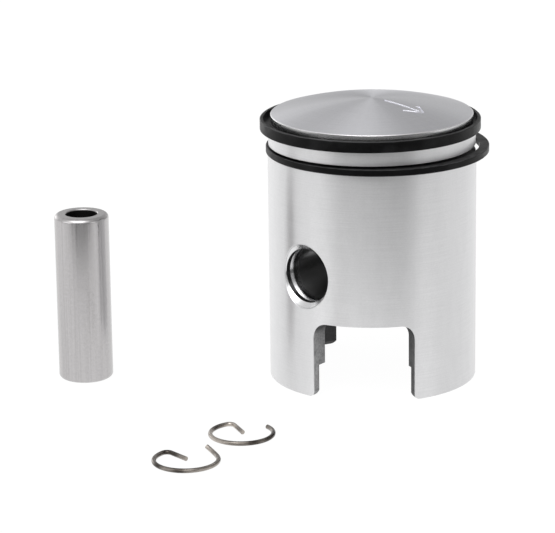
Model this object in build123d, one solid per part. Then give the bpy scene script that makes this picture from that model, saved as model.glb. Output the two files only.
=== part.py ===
from build123d import *

import math
import os

# A small two-stroke piston set, in millimetres: the piston with two sprung-open rings, and its
# gudgeon pin and two wire circlips laid out beside it on the same surface.
# Origin: on the piston axis at the centre of the gudgeon-pin bore. +Z points to the crown, and the
# bore runs along Y. The set stands on the plane z = FLOOR.

# ---- piston ----
SKIRT_RADIUS = 38.15 / 2
SECOND_LAND_RADIUS = 18.95
TOP_LAND_RADIUS = 18.50  # narrower, so that the upright leg of the L-ring has room beside it
SEAM_BEARING = 38.0  # the turned faces start here, clear of the bore and the windows
PIN_HEIGHT = 22.3  # skirt base to bore centre
RIM_HEIGHT = 49.3  # skirt base to crown rim
CROWN_RISE = 2.7  # rim to the top of the shallow dome
RIM_ROUND = 0.12

CROWN_RADIUS = TOP_LAND_RADIUS - RIM_ROUND

TOP_GROOVE = (46.4, 47.5)  # heights of the groove's lower and upper faces above the skirt base
TOP_GROOVE_ROOT = 16.8
SECOND_GROOVE = (42.2, 43.65)
SECOND_GROOVE_ROOT = 17.0
LAND_BREAK = 0.15  # chamfer on the land edges

LOWER_WALL_RADIUS = 17.35  # inside radius of the thin, machined band at the foot of the skirt
WALL_RADIUS = 16.3
BELT_RADIUS = 14.0  # inside radius behind the rings
LOWER_WALL_TOP = 5.6
BELT_START = 36.5
CROWN_UNDERSIDE = 44.8
INNER_ROUND = 5.0
FOOT_CHAMFER = 0.8  # round the inside of the skirt base

# ---- gudgeon-pin bore ----
BORE_RADIUS = 5.02
BORE_CHAMFER_RADIUS = 6.05
BOSS_RADIUS = 8.2
BOSS_GAP = 13.0  # room for the connecting rod's small end
BOSS_WEB_WIDTH = 11.0
BOSS_PAD_WIDTH = 12.0
BOSS_PAD_FACE = 15.35
BOSS_ROUND = 1.0
CIRCLIP_GROOVE_RADIUS = 5.5
CIRCLIP_GROOVE_WIDTH = 0.9
CIRCLIP_GROOVE_CENTRE = 16.6

# ---- skirt windows ----
WINDOW_HALF_ANGLE = 28.85
WINDOW_BEARING = 35.4  # centre of the front window, turned from -Y towards +X
WINDOW_TOP = 14.05
WINDOW_CORNER = 2.7
WINDOW_START = 11.0  # inside this radius the windows cut nothing
WINDOW_FOOT_ROUND = 0.9

# ---- rings, as they spring open out of the cylinder ----
TOP_RING_RADIUS = 20.15
TOP_RING_WIDTH = 2.0
TOP_RING_HEIGHT = 2.0
TOP_RING_LEG = 0.6  # thickness of the upright leg
TOP_RING_FOOT = 1.0  # thickness of the flat leg that runs in the groove
TOP_RING_SHIFT = 0.3
SECOND_RING_RADIUS = 20.4
SECOND_RING_WIDTH = 1.7
SECOND_RING_HEIGHT = 1.2
SECOND_RING_SHIFT = 1.0
RING_SIDE_PLAY = 0.05
RING_EDGE_BREAK = 0.12
CYLINDER_RADIUS = 38.2 / 2
CLOSED_GAP = 0.2
LAYOUT_BEARING = 42.6  # the rings are pushed along this direction, turned from +X towards +Y

# ---- ring pegs ----
PEG_RADIUS = 0.5
PEG_ROOT = 14.6
TOP_PEG_TIP = 18.2
SECOND_PEG_TIP = 18.5
TOP_PEG_BEARING = 100.0  # turned from +X towards +Y
SECOND_PEG_BEARING = 160.0
PEG_NOTCH_DEPTH = 1.15
PEG_NOTCH_REACH = 0.8

# ---- gudgeon pin ----
PIN_RADIUS = 5.0
PIN_LENGTH = 31.3
PIN_HOLE_RADIUS = 2.85
PIN_ROUND = 0.8
PIN_HOLE_EDGE = 0.25
PIN_PLACE = (-38.4, -37.1)

# ---- circlips ----
WIRE_RADIUS = 0.4
CIRCLIP_RADIUS = 5.52
CIRCLIP_SWEEP = 276.0
FREE_END_SWEEP = 38.0  # the part of the sweep that can be sprung up off the surface
TANG_BEND = 99.0
TANG_BEND_RADIUS = 1.0
TANG_LENGTH = 4.1
# x, y, bearing of the free end, and the angle by which that end is bent up
CIRCLIPS = {"circlip_left": (8.8, -59.1, 97.4, 39.0), "circlip_right": (6.65, -42.9, 78.6, 0.0)}

# ---- arrow engraved on the crown, square to the bore ----
ARROW_LENGTH = 9.0
ARROW_BARB = 3.6
ARROW_SPREAD = 36.0
ARROW_STROKE = 0.7
ARROW_DEPTH = 0.15
ARROW_CENTRE = 7.5

FLOOR = -PIN_HEIGHT
PAST = 1.0  # how far a cutter runs past the face that it cuts


def polar(radius, bearing):
    """A point at a radius and a bearing, turned from +X towards +Y."""
    angle = math.radians(bearing)
    return radius * math.cos(angle), radius * math.sin(angle)


def up(height):
    """The z of a height above the skirt base."""
    return FLOOR + height


def turned(profile):
    """The solid that a profile of (radius, height) points sweeps around the piston axis."""
    outline = Polyline(*[(radius, 0, up(height)) for radius, height in profile], close=True)
    return revolve(make_face(outline), axis=Axis.Z)


def outer_body():
    """The turned outside of the piston, solid inside, with its grooves and domed crown."""
    flank = Polyline(
        (0, 0, up(0)),
        (SKIRT_RADIUS, 0, up(0)),
        (SKIRT_RADIUS, 0, up(SECOND_GROOVE[0] - LAND_BREAK)),
        (SKIRT_RADIUS - LAND_BREAK, 0, up(SECOND_GROOVE[0])),
        (SECOND_GROOVE_ROOT, 0, up(SECOND_GROOVE[0])),
        (SECOND_GROOVE_ROOT, 0, up(SECOND_GROOVE[1])),
        (SECOND_LAND_RADIUS - LAND_BREAK, 0, up(SECOND_GROOVE[1])),
        (SECOND_LAND_RADIUS, 0, up(SECOND_GROOVE[1] + LAND_BREAK)),
        (SECOND_LAND_RADIUS, 0, up(TOP_GROOVE[0] - LAND_BREAK)),
        (SECOND_LAND_RADIUS - LAND_BREAK, 0, up(TOP_GROOVE[0])),
        (TOP_GROOVE_ROOT, 0, up(TOP_GROOVE[0])),
        (TOP_GROOVE_ROOT, 0, up(TOP_GROOVE[1])),
        (TOP_LAND_RADIUS, 0, up(TOP_GROOVE[1])),
        (TOP_LAND_RADIUS, 0, up(RIM_HEIGHT - RIM_ROUND)),
        (CROWN_RADIUS, 0, up(RIM_HEIGHT)),
    )
    apex = (0, 0, up(RIM_HEIGHT + CROWN_RISE))
    sphere_radius = (CROWN_RADIUS**2 + CROWN_RISE**2) / (2 * CROWN_RISE)
    sag = sphere_radius - math.sqrt(sphere_radius**2 - (CROWN_RADIUS / 2) ** 2)
    dome = ThreePointArc(
        (CROWN_RADIUS, 0, up(RIM_HEIGHT)), (CROWN_RADIUS / 2, 0, apex[2] - sag), apex
    )
    axis_line = Line(apex, (0, 0, up(0)))
    body = revolve(make_face(Wire([*flank.edges(), dome, axis_line])), axis=Axis.Z)
    return Rot(0, 0, SEAM_BEARING) * body


def upright(radius, height):
    """A cylinder on the piston axis that stands on the skirt base."""
    return Pos(0, 0, FLOOR) * Cylinder(radius, height, align=(Align.CENTER, Align.CENTER, Align.MIN))


def hollow():
    """The space inside: a machined foot, the cast wall, and a narrower part behind the rings."""
    middle = upright(WALL_RADIUS, BELT_START)
    middle = chamfer(middle.edges().group_by(Axis.Z)[-1], WALL_RADIUS - BELT_RADIUS)
    upper = upright(BELT_RADIUS, CROWN_UNDERSIDE)
    upper = fillet(upper.edges().group_by(Axis.Z)[-1], INNER_ROUND)
    return upright(LOWER_WALL_RADIUS, LOWER_WALL_TOP) + middle + upper


def bosses():
    """The two pin bosses, with the web up to the crown and the pad down the skirt."""
    full = 2 * SKIRT_RADIUS
    barrel = Rot(90, 0, 0) * Cylinder(BOSS_RADIUS, full)
    web_height = RIM_HEIGHT - PIN_HEIGHT
    web = Box(BOSS_WEB_WIDTH, full, web_height, align=(Align.CENTER, Align.CENTER, Align.MIN))
    gap = Box(full, BOSS_GAP, 3 * full)
    boss = barrel + web - gap
    boss = fillet(boss.edges().filter_by(Plane.XZ), BOSS_ROUND)
    pad_height = PIN_HEIGHT - LOWER_WALL_TOP
    pad = Box(BOSS_PAD_WIDTH, full, pad_height, align=(Align.CENTER, Align.CENTER, Align.MAX))
    pad -= Box(full, 2 * BOSS_PAD_FACE, 3 * full)
    return boss + pad


def pin_bore():
    """The bore, its mouth chamfers and the circlip grooves."""
    cut = Rot(90, 0, 0) * Cylinder(BORE_RADIUS, 3 * SKIRT_RADIUS)
    mouth_depth = BORE_CHAMFER_RADIUS - BORE_RADIUS
    for side in (-1, 1):
        groove = Rot(90, 0, 0) * Cylinder(CIRCLIP_GROOVE_RADIUS, CIRCLIP_GROOVE_WIDTH)
        cut += Pos(0, side * CIRCLIP_GROOVE_CENTRE, 0) * groove
        mouth = Cone(BORE_RADIUS, BORE_CHAMFER_RADIUS + PAST, mouth_depth + PAST)
        centre = SKIRT_RADIUS - mouth_depth + (mouth_depth + PAST) / 2
        cut += Pos(0, side * centre, 0) * Rot(-90 * side, 0, 0) * mouth
    return cut


def window(bearing):
    """A wedge that cuts one skirt window, with radial sides and rounded top corners."""
    reach = SKIRT_RADIUS + 4 * PAST
    left = polar(reach, bearing + WINDOW_HALF_ANGLE)
    right = polar(reach, bearing - WINDOW_HALF_ANGLE)
    plan = Pos(0, 0, FLOOR) * make_face(Polyline((0, 0), left, right, close=True))
    wedge = extrude(plan, WINDOW_TOP)
    top_edges = wedge.edges().group_by(Axis.Z)[-1]
    side_edges = top_edges.filter_by(lambda edge: math.isclose(edge.length, reach, abs_tol=0.01))
    wedge = fillet(side_edges, WINDOW_CORNER)
    return wedge - upright(WINDOW_START, WINDOW_TOP)


def foot_chamfer():
    """The cone that eases the inner edge of the skirt base."""
    rim = LOWER_WALL_RADIUS + FOOT_CHAMFER
    return turned([(0, 0), (rim, 0), (LOWER_WALL_RADIUS, FOOT_CHAMFER), (0, FOOT_CHAMFER)])


def ring_peg(bearing, groove, tip):
    """A round peg across the middle of a groove, from inside the wall to near the land's edge."""
    peg = Cylinder(PEG_RADIUS, tip - PEG_ROOT, align=(Align.CENTER, Align.CENTER, Align.MIN))
    return Rot(0, 0, bearing) * Pos(PEG_ROOT, 0, up(sum(groove) / 2)) * Rot(0, 90, 0) * peg


def arrow():
    """Upright strokes in the outline of an arrow that points along +X."""
    depth = 4 * CROWN_RISE
    mark = Pos(ARROW_CENTRE, 0, 0) * Box(ARROW_LENGTH, ARROW_STROKE, depth)
    barb = Pos(-ARROW_BARB / 2, 0, 0) * Box(ARROW_BARB, ARROW_STROKE, depth)
    for side in (-1, 1):
        mark += Pos(ARROW_CENTRE + ARROW_LENGTH / 2, 0, 0) * Rot(0, 0, side * ARROW_SPREAD) * barb
    return Pos(0, 0, up(RIM_HEIGHT)) * mark


def top_ring_peg():
    """The peg that the top ring's ends straddle."""
    return ring_peg(TOP_PEG_BEARING, TOP_GROOVE, TOP_PEG_TIP)


def second_ring_peg():
    """The peg that the second ring's ends straddle."""
    return ring_peg(SECOND_PEG_BEARING, SECOND_GROOVE, SECOND_PEG_TIP)


def piston_body():
    """The piston itself: outside, inside, bosses, bore, windows, peg holes and the crown's arrow."""
    shell = outer_body()
    inside = hollow()
    body = shell - inside + (bosses() & inside)
    body -= pin_bore()
    for bearing in (WINDOW_BEARING - 90, WINDOW_BEARING + 90):
        body -= window(bearing)
    foot_edges = body.edges().group_by(Axis.Z)[0].filter_by(GeomType.LINE)
    body = fillet(foot_edges, WINDOW_FOOT_ROUND)
    body -= foot_chamfer()
    body -= top_ring_peg()
    body -= second_ring_peg()
    body -= arrow() - Pos(0, 0, -ARROW_DEPTH) * shell
    return body


def ring_gap(free_radius):
    """Half of the angle between a sprung-open ring's ends, from the length it has when closed."""
    closed_length = 2 * math.pi * CYLINDER_RADIUS - CLOSED_GAP
    open_length = 2 * math.pi * free_radius - closed_length
    return math.degrees(open_length / free_radius) / 2


def gap_cutter(radius, width, height, bottom, bearing):
    """The free gap at a bearing, with a notch in the inner half of each end for the peg."""
    half_angle = ring_gap(radius)
    outer = radius + 2 * PAST
    mid = radius - width + PEG_NOTCH_DEPTH
    notch = half_angle + math.degrees(PEG_NOTCH_REACH / radius)
    gap = make_face(Polyline((0, 0), polar(outer, -half_angle), polar(outer, half_angle), close=True))
    inner = make_face(Polyline((0, 0), polar(mid, -notch), polar(mid, notch), close=True))
    return Pos(0, 0, up(bottom - PAST)) * Rot(0, 0, bearing) * extrude(gap + inner, height + 2 * PAST)


def top_ring():
    """The L-section ring: a flat leg in the groove, and an upright leg that stands beside the land."""
    bottom = TOP_GROOVE[0] + RING_SIDE_PLAY
    top = bottom + TOP_RING_HEIGHT
    inner = TOP_RING_RADIUS - TOP_RING_WIDTH
    leg = TOP_RING_RADIUS - TOP_RING_LEG
    edge = RING_EDGE_BREAK
    blank = turned(
        [
            (inner, bottom),
            (TOP_RING_RADIUS - edge, bottom),
            (TOP_RING_RADIUS, bottom + edge),
            (TOP_RING_RADIUS, top - edge),
            (TOP_RING_RADIUS - edge, top),
            (leg, top),
            (leg, bottom + TOP_RING_FOOT),
            (inner, bottom + TOP_RING_FOOT),
        ]
    )
    blank -= gap_cutter(TOP_RING_RADIUS, TOP_RING_WIDTH, TOP_RING_HEIGHT, bottom, TOP_PEG_BEARING)
    x, y = polar(-TOP_RING_SHIFT, LAYOUT_BEARING)
    return Pos(x, y, 0) * blank


def second_ring():
    """The plain rectangular ring, pushed to one side in its groove."""
    bottom = SECOND_GROOVE[0] + RING_SIDE_PLAY
    top = bottom + SECOND_RING_HEIGHT
    inner = SECOND_RING_RADIUS - SECOND_RING_WIDTH
    edge = RING_EDGE_BREAK
    blank = turned(
        [
            (inner, bottom),
            (SECOND_RING_RADIUS - edge, bottom),
            (SECOND_RING_RADIUS, bottom + edge),
            (SECOND_RING_RADIUS, top - edge),
            (SECOND_RING_RADIUS - edge, top),
            (inner, top),
        ]
    )
    blank -= gap_cutter(
        SECOND_RING_RADIUS, SECOND_RING_WIDTH, SECOND_RING_HEIGHT, bottom, SECOND_PEG_BEARING
    )
    x, y = polar(SECOND_RING_SHIFT, LAYOUT_BEARING)
    return Pos(x, y, 0) * blank


def wrist_pin():
    """The hollow gudgeon pin, with rounded ends and a broken edge to its hole, standing on one end."""
    pin = Cylinder(PIN_RADIUS, PIN_LENGTH, align=(Align.CENTER, Align.CENTER, Align.MIN))
    pin = fillet(pin.edges().filter_by(GeomType.CIRCLE), PIN_ROUND)
    pin -= Cylinder(PIN_HOLE_RADIUS, PIN_LENGTH, align=(Align.CENTER, Align.CENTER, Align.MIN))
    edge = Cone(PIN_HOLE_RADIUS, PIN_HOLE_RADIUS + PIN_HOLE_EDGE, PIN_HOLE_EDGE)
    edge = Pos(0, 0, -PIN_HOLE_EDGE / 2) * edge
    pin -= Pos(0, 0, PIN_LENGTH) * edge
    pin -= Rot(180, 0, 0) * edge
    return Pos(*PIN_PLACE, FLOOR) * pin


def circlip(x, y, free_end_bearing, bent_up):
    """A wire ring from its free end, clockwise to the bend, with the straight tang pointing inwards."""
    free_end = CenterArc((0, 0), CIRCLIP_RADIUS, 0, -FREE_END_SWEEP)
    hinge = Axis(free_end @ 1, free_end % 1)
    free_end = free_end.rotate(hinge, -bent_up)
    arc = CenterArc((0, 0), CIRCLIP_RADIUS, -FREE_END_SWEEP, FREE_END_SWEEP - CIRCLIP_SWEEP)
    bend_point = arc @ 1
    heading = arc % 1
    bend_centre = bend_point + heading.rotate(Axis.Z, -90) * TANG_BEND_RADIUS
    bend_start = math.degrees(math.atan2(bend_point.Y - bend_centre.Y, bend_point.X - bend_centre.X))
    bend = CenterArc(bend_centre, TANG_BEND_RADIUS, bend_start, -TANG_BEND)
    tang = Line(bend @ 1, (bend @ 1) + (bend % 1) * TANG_LENGTH)
    wire = Wire([free_end, arc, bend, tang])
    section = Plane(origin=free_end @ 0, z_dir=free_end % 0) * Circle(WIRE_RADIUS)
    clip = sweep(section, path=wire)
    return Pos(x, y, FLOOR + WIRE_RADIUS) * Rot(0, 0, free_end_bearing) * clip


os.makedirs("parts", exist_ok=True)
pieces = {
    "piston_body": piston_body(),
    "top_ring": top_ring(),
    "second_ring": second_ring(),
    "top_ring_peg": top_ring_peg(),
    "second_ring_peg": second_ring_peg(),
    "wrist_pin": wrist_pin(),
}
for name, place in CIRCLIPS.items():
    pieces[name] = circlip(*place)
for name, solid in pieces.items():
    export_step(solid, f"parts/{name}.step")
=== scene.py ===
import math

import bpy
from mathutils import Matrix, Vector


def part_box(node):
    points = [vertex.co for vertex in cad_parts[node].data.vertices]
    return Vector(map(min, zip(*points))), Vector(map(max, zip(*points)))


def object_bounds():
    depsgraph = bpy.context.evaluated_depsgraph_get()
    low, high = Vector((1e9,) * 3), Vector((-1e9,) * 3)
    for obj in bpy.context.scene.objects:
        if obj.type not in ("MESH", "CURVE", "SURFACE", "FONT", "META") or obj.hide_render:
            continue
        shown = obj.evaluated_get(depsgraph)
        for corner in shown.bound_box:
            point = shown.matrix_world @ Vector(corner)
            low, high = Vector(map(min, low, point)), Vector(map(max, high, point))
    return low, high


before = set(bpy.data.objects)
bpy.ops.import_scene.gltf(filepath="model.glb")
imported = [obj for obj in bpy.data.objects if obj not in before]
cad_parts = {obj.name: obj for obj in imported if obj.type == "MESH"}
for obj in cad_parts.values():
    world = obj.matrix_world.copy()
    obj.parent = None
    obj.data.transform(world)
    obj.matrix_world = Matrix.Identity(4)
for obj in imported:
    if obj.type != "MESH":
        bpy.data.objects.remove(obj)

CAD_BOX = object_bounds()
MM = 0.001

# The piston axis is the Z axis, the pin bore runs along Y, and the set stands at the box's foot.
FLOOR = CAD_BOX[0][2]
BODY_LOW, BODY_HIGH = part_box("piston_body")
SKIRT_RADIUS = (BODY_HIGH.x - BODY_LOW.x) / 2
CROWN_TOP = BODY_HIGH.z

# ---- camera ----
CAMERA_PLACE = Vector((337.2 * MM, -392.6 * MM, FLOOR + 168.2 * MM))
CAMERA_BEARING = math.radians(42.6)
CAMERA_TILT = math.radians(90 - 15.96)
CAMERA_ROLL = math.radians(-0.75)
CAMERA_LENS = 188.8
SENSOR_WIDTH = 36.0

# ---- heights on the piston, above the plane it stands on ----
FOOT_BAND_TOP = FLOOR + 5.6 * MM
# where the painted shade in the window's top corners begins
CAST_SHADE_FROM = FLOOR + 11.2 * MM
TOP_GROOVE_TOP = FLOOR + 47.5 * MM
RIM_HEIGHT = FLOOR + 49.3 * MM
RIM_FOOT = RIM_HEIGHT - 0.12 * MM

# ---- the crown is a shallow cap of a sphere ----
CROWN_RADIUS = 18.38 * MM
CROWN_RISE = CROWN_TOP - RIM_HEIGHT
CROWN_SPHERE = (CROWN_RADIUS**2 + CROWN_RISE**2) / (2 * CROWN_RISE)

# ---- distances from the piston axis ----
PAD_RADIUS = 15.2 * MM
FOOT_BAND_RADIUS = 17.4 * MM
FOOT_CHAMFER = 0.8 * MM
RIM_INSIDE = CROWN_RADIUS - 0.08 * MM
SKIN_INSIDE = SKIRT_RADIUS - 0.22 * MM
SKIN_OUTSIDE = SKIRT_RADIUS - 0.16 * MM

# ---- pin bore: the radius of its mouth, and distances along it from its middle over which its painted shade fades ----
BORE_MOUTH_RADIUS = 6.05 * MM
BOSS_FACE = 6.5 * MM
BORE_DARK_TO = 14.4 * MM
BORE_BRIGHT_FROM = 15.6 * MM

# ---- gudgeon pin, from its own axis: the edges of its ground outside and of its drilled hole ----
PIN_GROUND_FROM = 4.5 * MM
PIN_HOLE_TO = 3.0 * MM

# ---- floor, and the grey card: where it starts and ends in front of the axis, and half its width ----
FLOOR_HALF = 3.0
CARD_NEAR = 95 * MM
CARD_FAR = 900 * MM
CARD_HALF = 900 * MM
CARD_LIFT = 0.2 * MM
PAPER_TONE = 0.04
FLOOR_GLOW = 0.98
CARD_GLOW = 0.13

# ---- light tent: bearing, height and half width in degrees, and brightness, of each glow ----
TENT_GREY = 0.44
KEY_GLOW = (-14, 50, 20, 4.6)
CAMERA_SLOT = (-4, 6, 26, -0.95)
TENT_GLOWS = (
    (-145, 4, 16, 1.5),
    (-60, 7, 14, 1.35),
    (56, 3, 12, 1.25),
    (-90, 35, 45, 0.35),
    (150, 8, 16, 0.25),
    (-178, 42, 5, 0.25),
)

QUARTER_TURN = 0.25
MIX_SOCKETS = {"FLOAT": (2, 3, 0), "VECTOR": (4, 5, 1), "RGBA": (6, 7, 2)}


# ---- node helpers ----
class Nodes:
    """A node tree, with short calls for the nodes that the materials below share."""

    def __init__(self, tree):
        self.tree = tree

    def add(self, kind, **values):
        node = self.tree.nodes.new(kind)
        for key, value in values.items():
            setattr(node, key, value)
        return node

    def feed(self, socket, value):
        """Link a socket to another one, or set it to a plain value."""
        if isinstance(value, bpy.types.NodeSocket):
            self.tree.links.new(value, socket)
        else:
            socket.default_value = value

    def math(self, operation, a, b=0.0):
        node = self.add("ShaderNodeMath", operation=operation)
        self.feed(node.inputs[0], a)
        self.feed(node.inputs[1], b)
        return node.outputs[0]

    def plus(self, a, b):
        return self.math("ADD", a, b)

    def minus(self, a, b):
        return self.math("SUBTRACT", a, b)

    def times(self, a, b):
        return self.math("MULTIPLY", a, b)

    def either(self, a, b):
        """The larger of two masks."""
        return self.math("MAXIMUM", a, b)

    def length(self, a, b):
        return self.math("SQRT", self.plus(self.times(a, a), self.times(b, b)))

    def split(self, vector):
        node = self.add("ShaderNodeSeparateXYZ")
        self.feed(node.inputs[0], vector)
        return node.outputs[0], node.outputs[1], node.outputs[2]

    def combine(self, x, y, z=0.0):
        node = self.add("ShaderNodeCombineXYZ")
        for socket, value in zip(node.inputs, (x, y, z)):
            self.feed(socket, value)
        return node.outputs[0]

    def place(self):
        """The point in the row's frame, as x, y and z in metres."""
        return self.split(self.add("ShaderNodeTexCoord").outputs["Object"])

    def around(self, axis):
        """The direction round an axis through the row's origin."""
        return self.add("ShaderNodeTangent", direction_type="RADIAL", axis=axis).outputs[0]

    def noise(self, vector, scale, detail=2.0, roughness=0.5):
        node = self.add("ShaderNodeTexNoise")
        self.feed(node.inputs["Vector"], vector)
        node.inputs["Scale"].default_value = scale
        node.inputs["Detail"].default_value = detail
        node.inputs["Roughness"].default_value = roughness
        return node.outputs["Fac"]

    def remap(self, value, low, high, to_low=0.0, to_high=1.0):
        """A ramp from to_low at low to to_high at high, flat past both; low may be the larger one."""
        node = self.add("ShaderNodeMapRange")
        self.feed(node.inputs["Value"], value)
        limits = ("From Min", low), ("From Max", high), ("To Min", to_low), ("To Max", to_high)
        for name, limit in limits:
            node.inputs[name].default_value = limit
        return node.outputs[0]

    def mix(self, kind, factor, a, b):
        """a where the factor is 0 and b where it is 1."""
        node = self.add("ShaderNodeMix", data_type=kind)
        first, second, result = MIX_SOCKETS[kind]
        self.feed(node.inputs[0], factor)
        self.feed(node.inputs[first], a)
        self.feed(node.inputs[second], b)
        return node.outputs[result]

    def blend(self, factor, a, b):
        return self.mix("FLOAT", factor, a, b)

    def bump(self, height, distance, strength):
        node = self.add("ShaderNodeBump")
        node.inputs["Strength"].default_value = strength
        node.inputs["Distance"].default_value = distance
        self.feed(node.inputs["Height"], height)
        return node.outputs[0]


def grey(value):
    return (value, value, value, 1.0)


def new_material(name, metallic=1.0, specular=0.5):
    material = bpy.data.materials.new(name)
    material.use_nodes = True
    shader = material.node_tree.nodes["Principled BSDF"]
    shader.inputs["Metallic"].default_value = metallic
    shader.inputs["Specular IOR Level"].default_value = specular
    return material, shader, Nodes(material.node_tree)


def brush(n, shader, strength, tangent):
    """Stretch the highlights across fine grooves that run along the tangent."""
    shader.inputs["Anisotropic"].default_value = strength
    shader.inputs["Anisotropic Rotation"].default_value = QUARTER_TURN
    n.feed(shader.inputs["Tangent"], tangent)


# ---- piston ----
def turned_zones(n, radius, z):
    """Masks of the turned outside: its skin, crown, top land, engraving, the rim band that carries a painted
    highlight, and all of it.
    """
    skin = n.remap(radius, SKIN_INSIDE, SKIN_OUTSIDE)
    above_rim = n.remap(z, RIM_HEIGHT - 0.05 * MM, RIM_HEIGHT)
    beside_crown = n.remap(radius, CROWN_RADIUS, CROWN_RADIUS + 0.08 * MM)
    above_groove = n.remap(z, TOP_GROOVE_TOP + 0.1 * MM, TOP_GROOVE_TOP + 0.2 * MM)
    top_land = n.times(beside_crown, above_groove)
    turned = n.either(n.either(skin, above_rim), top_land)
    from_sphere = n.length(radius, n.minus(z, CROWN_TOP - CROWN_SPHERE))
    below_crown = n.remap(from_sphere, CROWN_SPHERE - 0.03 * MM, CROWN_SPHERE - 0.06 * MM)
    engraved = n.times(below_crown, above_rim)
    # a thin band round the crown's rim, for a painted highlight
    near_rim = n.remap(radius, RIM_INSIDE, RIM_INSIDE + 0.05 * MM)
    rim_highlight = n.times(near_rim, n.remap(z, RIM_FOOT - 0.02 * MM, RIM_FOOT))
    return skin, above_rim, top_land, engraved, rim_highlight, turned


def bored_zone(n, skin, x, z, off_middle):
    """The mask of the pin bore, from the face of each boss out to its mouth in the skirt."""
    in_bore = n.remap(n.length(x, z), BORE_MOUTH_RADIUS + 0.04 * MM, BORE_MOUTH_RADIUS)
    in_boss = n.remap(off_middle, BOSS_FACE - 0.1 * MM, BOSS_FACE)
    return n.times(n.times(in_bore, in_boss), n.minus(1.0, skin))


def cast_colour_and_shade(n, point, grain, x, z, radius):
    """Dull grey as cast, with painted shade: darker inside the skirt, above the window's foot and towards
    +X.
    """
    patches = n.remap(n.noise(point, 520.0, 3.0), 0.3, 0.7, 0.24, 0.38)
    unshaded = n.plus(patches, n.remap(grain, 0.3, 0.7, -0.11, 0.11))
    # painted shade: darker towards +X, up into the window's top corners, and inside the skirt
    across = n.remap(x, 3 * MM, 13 * MM, 1.0, 0.30)
    corner = n.remap(z, CAST_SHADE_FROM, CAST_SHADE_FROM + 1.5 * MM, 1.0, 0.10)
    step = n.remap(z, FOOT_BAND_TOP - 0.05 * MM, FOOT_BAND_TOP + 0.05 * MM, FOOT_BAND_RADIUS, PAD_RADIUS)
    wall = n.plus(step, n.remap(z, FLOOR, FLOOR + FOOT_CHAMFER, FOOT_CHAMFER, 0.0))
    inside = n.remap(n.minus(radius, wall), 0.0, 0.15 * MM, 0.15, 1.0)
    return n.times(unshaded, n.times(n.times(across, corner), inside))


def turned_aluminium():
    """Bare piston alloy: turned outside, polished in the pin bore, as cast inside and on the windows."""
    material, shader, n = new_material("turned_aluminium")
    x, y, z = n.place()
    point = n.combine(x, y, z)
    radius = n.length(x, y)
    bearing = n.math("ARCTAN2", y, x)
    off_middle = n.math("ABSOLUTE", y)
    skin, above_rim, top_land, engraved, rim_highlight, turned = turned_zones(n, radius, z)
    bored = bored_zone(n, skin, x, z, off_middle)
    machined = n.either(turned, bored)

    # tool marks run round the axis, close together and faint
    along = n.blend(above_rim, z, radius)
    feed_lines = n.noise(n.combine(n.times(along, 6500.0), n.times(bearing, 2.0)), 1.0, 2.0, 0.6)
    scuffs = n.noise(n.combine(n.times(z, 220.0), n.times(bearing, 12.0), 3.0), 1.0, 4.0)
    mottle = n.noise(point, 3200.0, 2.0, 0.6)
    cast_grain = n.noise(point, 2600.0, 4.0, 0.65)

    marks = n.remap(feed_lines, 0.25, 0.75, 0.67, 0.73)
    marks = n.plus(marks, n.remap(scuffs, 0.3, 0.8, 0.01, -0.02))
    marks = n.plus(marks, n.remap(mottle, 0.25, 0.75, -0.02, 0.02))
    # the rim band is painted near white as a painted highlight; the engraving is painted near white too
    turned_tone = n.blend(n.either(engraved, rim_highlight), marks, 0.95)
    # painted shade: the bore is darker deeper in and bright at its mouth
    bore_shaded_tone = n.remap(off_middle, BORE_DARK_TO, BORE_BRIGHT_FROM, 0.22, 0.75)
    cast_tone = cast_colour_and_shade(n, point, cast_grain, x, z, radius)
    tone = n.blend(machined, cast_tone, n.blend(bored, turned_tone, bore_shaded_tone))
    blue = n.times(tone, n.blend(above_rim, 1.01, 1.04))
    n.feed(shader.inputs["Base Color"], n.combine(tone, tone, blue))
    n.feed(shader.inputs["Metallic"], n.remap(machined, 0.0, 1.0, 0.2, 1.0))

    turned_rough = n.blend(top_land, n.remap(feed_lines, 0.25, 0.75, 0.30, 0.35), 0.20)
    turned_rough = n.blend(engraved, turned_rough, 0.6)
    bore_rough = n.remap(off_middle, BORE_DARK_TO, BORE_BRIGHT_FROM, 0.34, 0.16)
    machined_rough = n.blend(bored, turned_rough, bore_rough)
    cast_rough = n.remap(cast_grain, 0.3, 0.7, 0.55, 0.75)
    n.feed(shader.inputs["Roughness"], n.blend(machined, cast_rough, machined_rough))

    brush(n, shader, 0.85, n.mix("VECTOR", bored, n.around("Z"), n.around("Y")))
    relief = n.blend(machined, cast_grain, n.times(feed_lines, 0.08))
    n.feed(shader.inputs["Normal"], n.bump(relief, 0.05 * MM, 0.8))
    return material


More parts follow.
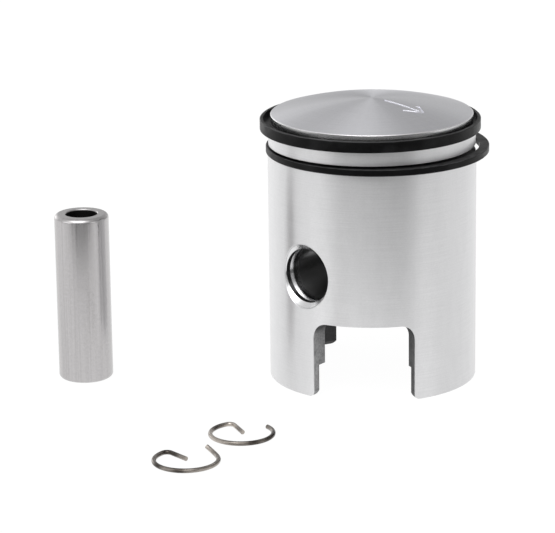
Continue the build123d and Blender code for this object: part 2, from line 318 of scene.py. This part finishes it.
# ---- rings, pegs, pin and circlips ----
def black_iron(name, node):
    """Phosphate-black ring iron, with a painted highlight along its outer edges, and rubbed lighter where it
    has been handled.
    """
    material, shader, n = new_material(name, metallic=0.0, specular=0.10)
    low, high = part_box(node)
    x, y, z = n.place()
    point = n.combine(x, y, z)
    radius = n.length(n.minus(x, (low.x + high.x) / 2), n.minus(y, (low.y + high.y) / 2))
    outside = (high.x - low.x) / 2
    rim = n.remap(radius, outside - 0.16 * MM, outside - 0.06 * MM)
    top = n.remap(z, high.z - 0.10 * MM, high.z - 0.03 * MM)
    foot = n.remap(z, low.z + 0.10 * MM, low.z + 0.03 * MM)
    grain = n.noise(point, 3800.0, 3.0)
    patch = n.noise(point, 420.0, 2.0)
    rubs = n.noise(point, 140.0, 3.0)
    # painted highlight: lighter along the outer top and bottom edges, in patches
    edge_highlight = n.times(n.times(rim, n.either(top, foot)), n.remap(patch, 0.35, 0.65, 0.2, 1.0))
    tone = n.plus(n.remap(grain, 0.3, 0.7, 0.0015, 0.0050), n.times(edge_highlight, 0.09))
    tone = n.plus(tone, n.remap(rubs, 0.5, 0.75, 0.0, 0.012))
    n.feed(shader.inputs["Base Color"], n.combine(tone, tone, n.times(tone, 1.04)))
    n.feed(shader.inputs["Roughness"], n.remap(patch, 0.3, 0.7, 0.30, 0.44))
    n.feed(shader.inputs["Normal"], n.bump(grain, 0.02 * MM, 0.5))
    return material


def peg_steel():
    """Drawn steel wire, cut and filed."""
    material, shader, n = new_material("peg_steel")
    grain = n.noise(n.combine(*n.place()), 4000.0, 3.0)
    tone = n.remap(grain, 0.3, 0.7, 0.40, 0.50)
    n.feed(shader.inputs["Base Color"], n.combine(tone, tone, n.times(tone, 0.97)))
    n.feed(shader.inputs["Roughness"], n.remap(grain, 0.3, 0.7, 0.35, 0.5))
    n.feed(shader.inputs["Normal"], n.bump(grain, 0.01 * MM, 0.4))
    return material


def ground_steel():
    """The hardened gudgeon pin: centreless ground outside, drilled through, faced ends."""
    material, shader, n = new_material("ground_steel")
    low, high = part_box("wrist_pin")
    x, y, z = n.place()
    x = n.minus(x, (low.x + high.x) / 2)
    y = n.minus(y, (low.y + high.y) / 2)
    radius = n.length(x, y)
    bearing = n.math("ARCTAN2", y, x)
    outside = n.remap(radius, PIN_GROUND_FROM, PIN_GROUND_FROM + 0.1 * MM)
    hole = n.remap(radius, PIN_HOLE_TO, PIN_HOLE_TO - 0.1 * MM)
    along = n.times(n.blend(outside, radius, z), 6000.0)
    lines = n.noise(n.combine(along, n.times(bearing, 3.0)), 1.0)
    streaks = n.noise(n.combine(n.times(z, 25.0), n.times(bearing, 13.0)), 1.0, 3.0)
    speck = n.noise(n.combine(x, y, z), 2400.0)
    tone = n.plus(n.remap(lines, 0.3, 0.7, -0.012, 0.012), n.remap(streaks, 0.3, 0.7, 0.46, 0.53))
    tone = n.plus(tone, n.remap(speck, 0.3, 0.7, -0.015, 0.015))
    # painted shade: the inside of the drilled hole is near black
    tone = n.blend(hole, tone, 0.015)
    n.feed(shader.inputs["Base Color"], n.combine(tone, n.times(tone, 0.975), n.times(tone, 0.98)))
    n.feed(shader.inputs["Roughness"], n.blend(hole, n.remap(streaks, 0.3, 0.7, 0.18, 0.26), 0.6))
    n.feed(shader.inputs["Normal"], n.bump(lines, 0.002 * MM, 0.5))
    brush(n, shader, 0.35, n.around("Z"))
    return material


def spring_wire():
    """Oil-tempered wire: a brown-black skin with paler rubbed places."""
    material, shader, n = new_material("spring_wire")
    point = n.combine(*n.place())
    skin = n.noise(point, 700.0)
    rubbed = n.remap(n.noise(point, 150.0), 0.42, 0.64)
    colour = n.mix("RGBA", rubbed, (0.075, 0.066, 0.058, 1.0), (0.47, 0.43, 0.39, 1.0))
    speckle = n.remap(skin, 0.3, 0.7, 0.85, 1.15)
    n.feed(shader.inputs["Base Color"], n.combine(*[n.times(part, speckle) for part in n.split(colour)]))
    n.feed(shader.inputs["Roughness"], n.remap(skin, 0.3, 0.7, 0.20, 0.34))
    n.feed(shader.inputs["Normal"], n.bump(skin, 0.01 * MM, 0.5))
    return material


def dress(node, material):
    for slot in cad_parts[node].material_slots:
        slot.material = material


# ---- studio ----
def add_camera():
    data = bpy.data.cameras.new("camera")
    data.lens = CAMERA_LENS
    data.sensor_width = SENSOR_WIDTH
    data.clip_start = 10 * MM
    camera = bpy.data.objects.new("camera", data)
    bpy.context.scene.collection.objects.link(camera)
    turn = Matrix.Rotation(CAMERA_BEARING, 4, "Z") @ Matrix.Rotation(CAMERA_TILT, 4, "X")
    camera.matrix_world = Matrix.Translation(CAMERA_PLACE) @ turn @ Matrix.Rotation(CAMERA_ROLL, 4, "Z")
    bpy.context.scene.camera = camera


def studio_direction(bearing, height):
    """A direction from the piston: the bearing runs from the camera's side towards its right."""
    angle = CAMERA_BEARING - math.pi / 2 + math.radians(bearing)
    rise = math.radians(height)
    return Vector((math.cos(angle) * math.cos(rise), math.sin(angle) * math.cos(rise), math.sin(rise)))


def add_sheet(name, corners, light):
    """A flat sheet of matt paper that also glows like a light table."""
    mesh = bpy.data.meshes.new(name)
    mesh.from_pydata(corners, [], [(0, 1, 2, 3)])
    sheet = bpy.data.objects.new(name, mesh)
    bpy.context.scene.collection.objects.link(sheet)
    material, shader, _ = new_material(name + "_paper", metallic=0.0, specular=0.0)
    shader.inputs["Base Color"].default_value = grey(PAPER_TONE)
    shader.inputs["Roughness"].default_value = 0.9
    shader.inputs["Emission Color"].default_value = grey(1.0)
    shader.inputs["Emission Strength"].default_value = light
    mesh.materials.append(material)
    return sheet


def add_floor():
    """A pale light table, and a dark grey card in front of the set that only the metal sees: painted shade
    in its reflections of the floor in front.
    """
    half = FLOOR_HALF
    corners = [(-half, -half, FLOOR), (half, -half, FLOOR), (half, half, FLOOR), (-half, half, FLOOR)]
    add_sheet("floor", corners, FLOOR_GLOW)
    front = studio_direction(0, 0)
    right = studio_direction(90, 0)
    lift = Vector((0, 0, FLOOR + CARD_LIFT))
    places = ((CARD_NEAR, -CARD_HALF), (CARD_FAR, -CARD_HALF), (CARD_FAR, CARD_HALF), (CARD_NEAR, CARD_HALF))
    # the card is hidden from the camera and darkens only what the metal reflects: painted shade
    card = add_sheet("front_shade_card", [front * out + right * side + lift for out, side in places], CARD_GLOW)
    card.visible_camera = False


def glow(n, direction, bearing, height, half_width, brightness):
    """A round glow on the tent's wall that falls to half at half_width degrees from its centre."""
    dot = n.add("ShaderNodeVectorMath", operation="DOT_PRODUCT")
    n.feed(dot.inputs[0], direction)
    n.feed(dot.inputs[1], studio_direction(bearing, height))
    sharpness = math.log(2) / (1 - math.cos(math.radians(half_width)))
    fall = n.times(n.minus(dot.outputs["Value"], 1.0), sharpness)
    return n.times(n.math("EXPONENT", fall), brightness)


def add_light():
    """A light tent: soft glows on its walls, and a shaded slot low in front where the camera looks in."""
    world = bpy.data.worlds.new("studio")
    bpy.context.scene.world = world
    world.use_nodes = True
    n = Nodes(world.node_tree)
    direction = n.add("ShaderNodeTexCoord").outputs["Generated"]
    shade = n.plus(glow(n, direction, *CAMERA_SLOT), 1.0)
    strength = n.plus(n.times(glow(n, direction, *KEY_GLOW), shade), TENT_GREY)
    for place in TENT_GLOWS:
        strength = n.plus(strength, glow(n, direction, *place))
    background = world.node_tree.nodes["Background"]
    background.inputs["Color"].default_value = grey(1.0)
    n.feed(background.inputs["Strength"], strength)


bpy.context.scene.view_settings.view_transform = "Standard"
add_camera()
dress("piston_body", turned_aluminium())
dress("top_ring", black_iron("top_ring_iron", "top_ring"))
dress("second_ring", black_iron("second_ring_iron", "second_ring"))
peg = peg_steel()
dress("top_ring_peg", peg)
dress("second_ring_peg", peg)
dress("wrist_pin", ground_steel())
wire = spring_wire()
dress("circlip_left", wire)
dress("circlip_right", wire)
add_floor()
add_light()
